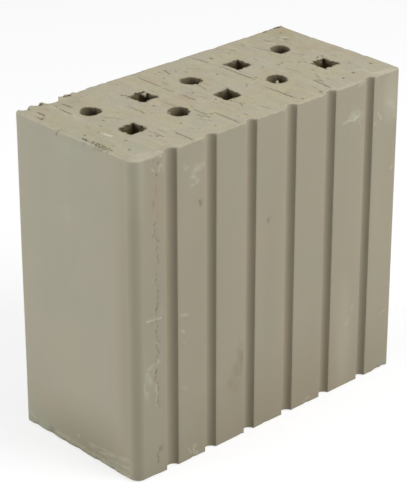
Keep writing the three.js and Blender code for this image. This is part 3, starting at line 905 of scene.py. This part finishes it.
def side(clay, wall):
    """A whole wall with both its arrises. Says the first point of its lowest and highest ring."""
    n = len(wall.loop)
    turns = np.linspace(math.pi / 2, 0, wall.steps + 1)
    low = arris(clay, wall, turns, False)
    high = arris(clay, wall, turns[::-1], True)
    columns_at, columns, rest = wall_grid(wall)
    seam = np.arange(ROW_STEP, HEIGHT - ROW_STEP + 1, ROW_STEP)
    ends = [np.column_stack([wall.s, np.full(n + 1, v)]) for v in (0.0, HEIGHT)]
    seams = [np.column_stack([np.full(len(seam), s), seam]) for s in (0.0, wall.s[-1])]
    inner = np.concatenate([seams[0], columns_at, rest])
    points, looks = wall.place(inner[:, 0], inner[:, 1])
    first = clay.add_points(points, **looks)
    ring = np.arange(n + 1) % n
    new = first + np.arange(len(inner))
    numbers = np.concatenate([low[-1] + ring, high[0] + ring, new[: len(seam)], new])
    held = [(i, i + 1) for i in range(n)] + [(n + 1 + i, n + 2 + i) for i in range(n)]
    column_start = 2 * (n + 1) + 2 * len(seam)
    for start, count, at in columns:
        if at > 0:
            chain = [at, *range(column_start + start, column_start + start + count), n + 1 + at]
            held += zip(chain, chain[1:])
    _, source, triangles = knit(np.concatenate([*ends, seams[0], seams[1], columns_at, rest]), held)
    clay.faces += numbers[source[triangles]].tolist()
    return low[0], high[-1]


def inside(points, loop):
    """Which points lie inside a loop."""
    x, y = points[:, 0][:, None], points[:, 1][:, None]
    (x0, y0), (x1, y1) = loop.T, ahead(loop).T
    spans = (y0 > y) != (y1 > y)
    with np.errstate(divide="ignore", invalid="ignore"):
        crossing = x0 + (y - y0) * (x1 - x0) / (y1 - y0)
    return (spans & (x < crossing)).sum(axis=1) % 2 == 1


def in_clay(points, outlines):
    """Which points lie inside the first outline and in none of the others."""
    within = inside(points, outlines[0])
    for hole in outlines[1:]:
        within &= ~inside(points, hole)
    return within


# Across a tear: how far out, as a share of half its width, how much of its depth, and how dark: torn clay with
# painted shade in the crack
TEAR_SECTION = ((0, 1, 1), (0.55, 0.8, 0.9), (-0.55, 0.8, 0.9), (1, 0, 0.1), (-1, 0, 0.1))

# Round a pit: how far out, how much of its depth, how dark with torn clay and painted shade, and how many
# points
PIT_RINGS = ((0.5, 0.8, 1.0, 5), (1.0, 0.0, 0.15, 8))


def tear_points(tears, rng):
    """Points that cut a groove along each tear: X, Y, how deep and how torn, and the runs along its bottom.
    One that runs towards the front, as the wire did, deepens on the way."""
    found, runs = [], []
    for x0, y0, x1, y1, width, depth in tears:
        start, end = np.array([x0, y0]), np.array([x1, y1])
        length = np.linalg.norm(end - start)
        along = (end - start) / length
        across = np.array([-along[1], along[0]])
        steps = max(2, round(length / TEAR_STEP))
        run = []
        for i in range(steps + 1):
            t = i / steps
            ends = min(1, 6 * min(t, 1 - t) + 0.1) * (0.6 + 0.4 * t if y1 < y0 else 1)
            wobble = 0.12 * rng.standard_normal()
            sink = depth * ends * rng.uniform(0.55, 1.0)
            middle = start + along * length * t + across * wobble
            half = width / 2 * (0.5 + 0.8 * ends) * rng.uniform(0.75, 1.15)
            # Deeper tears are darker: torn clay, with painted shade in the crack
            dark = ends * min(1, depth / 0.7)
            run.append(len(found))
            for share, sunk, torn in TEAR_SECTION:
                found.append((*(middle + across * half * share), sink * sunk, dark * torn))
        runs += zip(run, run[1:])
    return found, runs


def pit_points(pits, rng):
    """Points that sink a small ragged pit: X, Y, how deep and how torn."""
    found = []
    for x, y, radius, depth in pits:
        found.append((x, y, depth, 1.0))
        first = rng.uniform(0, 1)
        for share, sunk, torn, count in PIT_RINGS:
            for turn in np.arange(count) * 2 * math.pi / count + first:
                reach = share * radius * rng.uniform(0.8, 1.2)
                near = (x + 0.8 * reach * math.cos(turn), y + 1.3 * reach * math.sin(turn))
                found.append((*near, depth * sunk, torn))
    return found


def bed(clay, rims, up, grain, tears, pits, smears, seed):
    """A wire-cut bed between the rims of the outline and the holes, with its tears, pits and smears."""
    rng = np.random.default_rng(seed)
    so_far = np.concatenate(clay.points)
    outlines = [so_far[first : first + n, :2] for first, n in rims]
    edge = np.concatenate(outlines)
    marks, runs = tear_points(tears, rng)
    marks = np.array(marks + pit_points(pits, rng)).reshape(-1, 4)
    keep = in_clay(marks[:, :2], outlines) & far_from(marks[:, :2], edge, RIM_GAP)
    marks, number = marks[keep], np.cumsum(keep) - 1
    rows = np.arange(LOW[1], HIGH[1], grain * ROW_SHARE)
    columns = np.arange(LOW[0], HIGH[0], grain)
    grid = np.array([(x + (i % 2) * grain / 2, y) for i, y in enumerate(rows) for x in columns])
    grid += rng.uniform(-0.22, 0.22, grid.shape) * grain
    grid = grid[in_clay(grid, outlines)]
    grid = grid[far_from(grid, edge, grain * 0.6)]
    grid = grid[far_from(grid, marks[:, :2], TEAR_GAP)]
    sink, torn = np.concatenate([np.zeros((len(edge), 2)), marks[:, 2:], np.zeros((len(grid), 2))]).T
    held, start = [], 0
    for rim in outlines:
        n = len(rim)
        held += [(start + i, start + (i + 1) % n) for i in range(n)]
        start += n
    held += [(start + number[a], start + number[b]) for a, b in runs if keep[a] and keep[b]]
    places, source, triangles = knit(np.concatenate([edge, marks[:, :2], grid]), held)
    triangles = triangles[in_clay(places[triangles].mean(axis=1), outlines)]
    numbers = np.full(len(places), -1)
    on_rim = (source >= 0) & (source < len(edge))
    numbers[on_rim] = np.concatenate([first + np.arange(n) for first, n in rims])[source[on_rim]]
    new = np.flatnonzero(~on_rim)
    given = source[new] >= 0
    sunk = np.where(given, sink[source[new]], 0)
    pale = np.zeros(len(new))
    level = np.column_stack([places[new], np.zeros(len(new))])
    ragged = ragged_edge(level)
    for x0, y0, x1, y1, width, rise, paleness in smears:
        share = cover(level, (x0, y0, 0), (x1, y1, 0), width, ragged)
        sunk = sunk - rise * share
        pale = np.maximum(pale, paleness * share)
    level[:, 2] = HEIGHT - sunk if up else sunk
    first = clay.add_points(level, cut=1.0, torn=np.where(given, torn[source[new]], 0.5), pale=pale)
    numbers[new] = first + np.arange(len(new))
    clay.faces += numbers[triangles if up else triangles[:, ::-1]].tolist()


def brick_mesh():
    """The whole brick as one closed mesh."""
    loops = plan_loops(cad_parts["clay_brick"], HEIGHT - CHAMFER)
    loops.sort(key=lambda loop: -abs(signed_area(loop)))
    outline = wander_grooves(round_arcs(split_flats(run_round(loops[0], True), RIM_STEP)))
    holes = [split_flats(run_round(hole, False), MOUTH_STEP) for hole in wander_holes(loops[1:])]
    clay = Clay()
    bottoms, tops = [], []
    for number, (loop, ragged) in enumerate(zip([outline, *holes], [RAGGED_ARRIS, *RAGGED])):
        low, high = side(clay, Wall(loop, number, ragged))
        bottoms.append((low, len(loop)))
        tops.append((high, len(loop)))
    middles = [hole.mean(axis=0) for hole in holes]
    tears = TEARS + fine_tears(middles, FINE_TEARS, seed=8) + torn_strip(*PLUCKED_STRIP, seed=10)
    bed(clay, tops, True, TOP_GRAIN, tears, PITS, TOP_SMEARS, seed=5)
    bed(clay, bottoms, False, BOTTOM_GRAIN, [], [], [], seed=6)
    points, nicked = handled(np.concatenate(clay.points), middles)
    points = np.clip(points, LOW, HIGH)
    shares = clay.shares() | {name: tint(points, blobs) for name, blobs in TINTS.items()}
    shares["torn"] = np.maximum(shares["torn"], nicked * (0.5 + 0.5 * lumps(points, 1.3, 97)))
    return clay.mesh("clay_brick_raw", points, shares)


# Crumbs of clay left lying: X, Y, Z of the middle, radius along each axis, and how pale
CRUMBS = [
    # A curl in the corner of a square hole at the back
    (-37.6, 24.4, 225.2, 0.9, 0.9, 1.4, 0.4), (-36.8, 24.9, 226.1, 1.3, 0.7, 0.6, 0.3),
    (-35.7, 24.6, 226.3, 1.1, 0.8, 0.5, 0.2), (-38.4, 25.2, 225.6, 0.7, 0.6, 1, 0.2),
    # A sliver inside the rim of the first round hole at the front
    (-47.8, -10.6, 225.9, 0.6, 0.9, 0.5, 0.2),
    # A bead on a thread, over the near edge of a round hole
    (39.5, -20.2, 226, 0.9, 0.8, 0.6, 0.3), (40.4, -19.4, 226.1, 0.7, 0.7, 0.6, 0.4),
    (41.2, -18.6, 226, 1, 0.9, 0.8, 0.35),
    # Crumbs under the back left corner and along the lower front arris
    (-118.2, 53.6, 1.1, 0.8, 1.4, 0.9, 0.6), (-118.6, 49.4, 0.8, 0.6, 1.2, 0.7, 0.5),
    (-118.4, 46.6, 1.4, 0.7, 0.9, 0.8, 0.4), (36.8, -56.2, 3.4, 1.2, 0.7, 0.8, 0.6),
    (34.2, -56.3, 2.2, 1, 0.6, 0.7, 0.5), (31.6, -56.4, 1, 0.9, 0.6, 0.6, 0.5),
    (-69.2, -56.4, 1, 0.9, 0.6, 0.8, 0.6),
    # A bead of slurry at the lip of the last front groove
    (95, -56.9, 191.4, 0.7, 0.6, 1, 1),
]


def crumbs_mesh():
    """The loose crumbs, each a small uneven lump pressed onto the clay."""
    clay = Clay()
    for i, (x, y, z, rx, ry, rz, pale) in enumerate(CRUMBS):
        ball = bmesh.new()
        bmesh.ops.create_icosphere(ball, subdivisions=3, radius=1.0)
        unit = np.array([v.co for v in ball.verts])
        faces = np.array([[v.index for v in face.verts] for face in ball.faces])
        ball.free()
        rough = 1 + 0.3 * lumps(unit, 0.9, 200 + i) + 0.14 * lumps(unit, 0.4, 230 + i)
        points = (x, y, z) + unit * rough[:, None] * (rx, ry, rz)
        first = clay.add_points(np.clip(points, LOW + 0.05, HIGH - 0.05), cut=1.0, pale=pale, torn=0.15)
        clay.faces += (faces + first).tolist()
    return clay.mesh("clay_crumbs", np.concatenate(clay.points), clay.shares())


# ---- The clay's finish


def linear(colour):
    """A hex colour as it is seen, as the linear one that the renderer works in."""
    shares = [int(colour[i : i + 2], 16) / 255 for i in (1, 3, 5)]
    return (*(s / 12.92 if s <= 0.04045 else ((s + 0.055) / 1.055) ** 2.4 for s in shares), 1.0)


def fresh_tree(owner):
    """The node tree of a material or a world, emptied."""
    owner.use_nodes = True
    owner.node_tree.nodes.clear()
    return owner.node_tree


def add(tree, kind, inputs=None, **settings):
    """Adds a node. An input given as a socket is linked, and any other value is set."""
    node = tree.nodes.new("ShaderNode" + kind)
    for name, value in settings.items():
        setattr(node, name, value)
    for name, value in (inputs or {}).items():
        if isinstance(value, bpy.types.NodeSocket):
            tree.links.new(value, node.inputs[name])
        else:
            node.inputs[name].default_value = value
    return node


def mix(tree, share, first, second, way="MIX"):
    """Mixes two colours, each a hex one or a socket, by the share of the second, and says the socket."""
    first, second = (linear(colour) if isinstance(colour, str) else colour for colour in (first, second))
    return add(tree, "Mix", {0: share, 6: first, 7: second}, data_type="RGBA", blend_type=way).outputs[2]


def per_mm(*sizes):
    """The scale at which a pattern's lumps are these sizes, for coordinates in metres."""
    return tuple(1 / (size * MM) for size in sizes)


# Noise patterns in the clay: lump sizes in mm along X, Y and Z, the noise's detail, and a shift to part them
PATTERNS = {
    "clouds": ((45, 45, 70), 3.0, 0.0),
    "warmth": ((16, 22, 30), 2.0, 3.1),
    "yellow": ((20, 13, 20), 2.0, 29.3),
    "lines": ((5, 5, 200), 3.0, 5.7),
    "drag": ((1.9, 36, 8), 3.0, 8.3),
    "mottle": ((5, 9, 6), 4.0, 11.9),
    "dark_specks": ((1.0, 1.7, 1.2), 1.0, 14.3),
    "pale_specks": ((1.1, 2.0, 1.2), 1.0, 17.7),
    "grain": ((0.9, 0.9, 0.9), 4.0, 21.1),
    "patchy": ((2.4, 2.4, 2.4), 4.0, 25.3),
}

# How each pattern's share is read: from this much of it to that much, it goes from one value to another
READINGS = {
    "lines": (0.3, 0.7, 0.992, 1.008),
    "yellow": (0.38, 0.68, 0.0, 0.45),
    "drag": (0.25, 0.75, 0.95, 1.045),
    "mottle": (0.25, 0.75, 0.935, 1.05),
    "dark_specks": (0.67, 0.77, 0.0, 0.55),
    "pale_specks": (0.68, 0.78, 0.0, 0.55),
    "patchy": (0.35, 0.6, 0.35, 1.15),
}

# The colour of each tint and kind of surface, in the order that they are laid over the clay
LAYERS = {
    "green": "#A0A693",
    # Olive stains, and painted shade in the first front groove and at the near corner
    "olive_and_painted_shade": "#857D66",
    "rust": "#AB8F74",
    "straw": "#B8B288",
    # Dust, and painted light on the right ribs of the front face
    "dust_and_painted_light": "#BDB8A2",
    # Pale smears, and the painted highlight along the outline's arrises
    "pale": "#C2BEA9",
    # Painted shade on the walls of the holes
    "painted_hole_shade": "#594D33",
    # Torn clay, and also painted shade in cracks, pits and under the back arris curls
    "torn": "#3B301E",
}


def raw_clay():
    """Leather-hard clay. The die leaves its sides matt and smooth, with faint upright lines and soft clouds
    of warmer and greener grey. The wire leaves its beds paler, dragged and speckled. Torn clay is darker, and
    its colour also paints the shade in cracks, pits and under curls. Smeared slurry dries paler, and its colour
    also paints a highlight along the arrises. Painted shade darkens the walls of the holes inwards from each
    mouth, and some tints paint shade or light."""
    material = bpy.data.materials.new("raw_clay")
    tree = fresh_tree(material)
    place = add(tree, "TexCoord").outputs["Object"]
    share = {kind: add(tree, "Attribute", attribute_name=kind).outputs["Fac"] for kind in (*KINDS, *TINTS)}
    pattern = {}
    for name, (sizes, detail, shift) in PATTERNS.items():
        scaled = add(tree, "Mapping", {"Vector": place, "Location": (shift,) * 3, "Scale": per_mm(*sizes)})
        noise = add(tree, "TexNoise", {"Vector": scaled.outputs[0], "Scale": 1.0, "Detail": detail})
        pattern[name] = noise.outputs["Fac"]
    for name, (least, most, low, high) in READINGS.items():
        read = add(tree, "MapRange", {"Value": pattern[name], 1: least, 2: most, 3: low, 4: high})
        pattern[name] = read.outputs[0]

    skin = mix(tree, pattern["clouds"], "#9C9987", "#A89D8A")
    skin = mix(tree, 1.0, skin, pattern["lines"], "MULTIPLY")
    bed_skin = mix(tree, pattern["warmth"], "#ACAC98", "#B3A38F")
    bed_skin = mix(tree, pattern["yellow"], bed_skin, "#B1AA86")
    for name in ("drag", "mottle"):
        bed_skin = mix(tree, 1.0, bed_skin, pattern[name], "MULTIPLY")
    for name, colour in (("dark_specks", "#5E5442"), ("pale_specks", "#C9BEA6")):
        bed_skin = mix(tree, pattern[name], bed_skin, colour)
    surface = mix(tree, share["cut"], skin, bed_skin)
    pales = {0: share["pale"], 1: pattern["patchy"]}
    share["pale"] = add(tree, "Math", pales, operation="MULTIPLY", use_clamp=True).outputs[0]
    for kind, colour in LAYERS.items():
        surface = mix(tree, share[kind], surface, colour)

    grain_share = add(tree, "MapRange", {"Value": share["cut"], 3: 0.15, 4: 1.0})
    height = add(tree, "Math", {0: pattern["grain"], 1: grain_share.outputs[0]}, operation="MULTIPLY")
    bump = add(tree, "Bump", {"Height": height.outputs[0], "Strength": 0.6, "Distance": 0.25 * MM})
    look = {"Base Color": surface, "Roughness": 0.92, "IOR": 1.45, "Specular IOR Level": 0.25}
    shader = add(tree, "BsdfPrincipled", {**look, "Normal": bump.outputs["Normal"]})
    add(tree, "OutputMaterial", {"Surface": shader.outputs["BSDF"]})
    return material


# ---- The studio: a pale sweep, soft lamps and the camera

# Each lamp's place in metres, its size in metres, its power and its colour
LAMPS = {
    "right_lamp": ((0.85, -1.6, 1.5), 1.6, 43.9, "#FFFFFF"),
    "left_lamp": ((-1.75, 0.9, 0.5), 1.2, 33.3, "#F6FBFF"),
    "top_lamp": ((-0.05, -0.1, 2.3), 1.4, 18.6, "#FFFFFF"),
}
AIR = 0.06
FLOOR_SIZE = 12.0

# The camera's place, the way that it looks, in degrees round from X and down, and its lens
CAMERA_AT = (-876.2, -933.1, 722.3)
YAW = 47.063
PITCH = 25.548
LENS = 151.11


def put(name, data):
    """Adds an object to the scene."""
    made = bpy.data.objects.new(name, data)
    bpy.context.scene.collection.objects.link(made)
    return made


def aim(thing, way):
    """Turns a lamp or the camera to look a way."""
    thing.rotation_euler = way.to_track_quat("-Z", "Y").to_euler()


def seen(tree):
    """1 for the rays that show the backdrop: from the camera, or mirrored or passed through by a surface."""
    path = add(tree, "LightPath")
    either = path.outputs["Is Camera Ray"]
    for ray in ("Is Glossy Ray", "Is Transmission Ray"):
        either = add(tree, "Math", {0: either, 1: path.outputs[ray]}, operation="MAXIMUM").outputs[0]
    return either


def studio_floor():
    """A pale floor that shows as white and keeps a faint shadow."""
    mesh = bpy.data.meshes.new("floor")
    half = FLOOR_SIZE / 2
    corners = [(-half, -half, 0), (half, -half, 0), (half, half, 0), (-half, half, 0)]
    mesh.from_pydata(corners, [], [(0, 1, 2, 3)])
    floor = put("floor", mesh)
    material = bpy.data.materials.new("pale_floor")
    tree = fresh_tree(material)
    paper = add(tree, "BsdfDiffuse", {"Color": linear("#D8D8D6")})
    shaded = add(tree, "BsdfDiffuse", {"Color": linear("#9A9A9A")})
    white = add(tree, "Emission", {"Color": linear("#FFFFFF"), "Strength": 0.72})
    shown = add(tree, "AddShader", {0: shaded.outputs[0], 1: white.outputs[0]})
    mixed = add(tree, "MixShader", {0: seen(tree), 1: paper.outputs[0], 2: shown.outputs[0]})
    add(tree, "OutputMaterial", {"Surface": mixed.outputs[0]})
    mesh.materials.append(material)


def studio_air():
    """Soft light from all round, behind a white backdrop."""
    world = bpy.data.worlds.new("studio_air")
    bpy.context.scene.world = world
    tree = fresh_tree(world)
    air = add(tree, "Background", {"Color": linear("#FFFFFF"), "Strength": AIR})
    backdrop = add(tree, "Background", {"Color": linear("#FFFFFF"), "Strength": 1.0})
    mixed = add(tree, "MixShader", {0: seen(tree), 1: air.outputs[0], 2: backdrop.outputs[0]})
    add(tree, "OutputWorld", {"Surface": mixed.outputs[0]})


def studio_lamps():
    """Square soft lamps, turned to the middle of the brick."""
    middle = Vector((0, 0, HEIGHT / 2 * MM))
    for name, (place, size, power, colour) in LAMPS.items():
        light = bpy.data.lights.new(name, "AREA")
        light.shape = "SQUARE"
        light.size = size
        light.energy = power
        light.color = linear(colour)[:3]
        lamp = put(name, light)
        lamp.location = place
        aim(lamp, middle - Vector(place))


def studio_camera():
    """The view of the near corner from above the left."""
    lens = bpy.data.cameras.new("camera")
    lens.sensor_fit = "AUTO"
    lens.sensor_width = 36.0
    lens.lens = LENS
    lens.clip_start = 0.05
    lens.clip_end = 50.0
    camera = put("camera", lens)
    yaw, pitch = math.radians(YAW), math.radians(PITCH)
    camera.location = Vector(CAMERA_AT) * MM
    aim(camera, Vector((math.cos(yaw) * math.cos(pitch), math.sin(yaw) * math.cos(pitch), -math.sin(pitch))))
    bpy.context.scene.camera = camera


bpy.context.scene.view_settings.view_transform = "Standard"
clay_finish = raw_clay()
brick = put("clay_brick_raw", brick_mesh())
crumbs = put("clay_crumbs", crumbs_mesh())
for piece in (brick, crumbs):
    piece.data.materials.append(clay_finish)
    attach(piece, "root")
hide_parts("clay_brick")

studio_floor()
studio_air()
studio_lamps()
studio_camera()
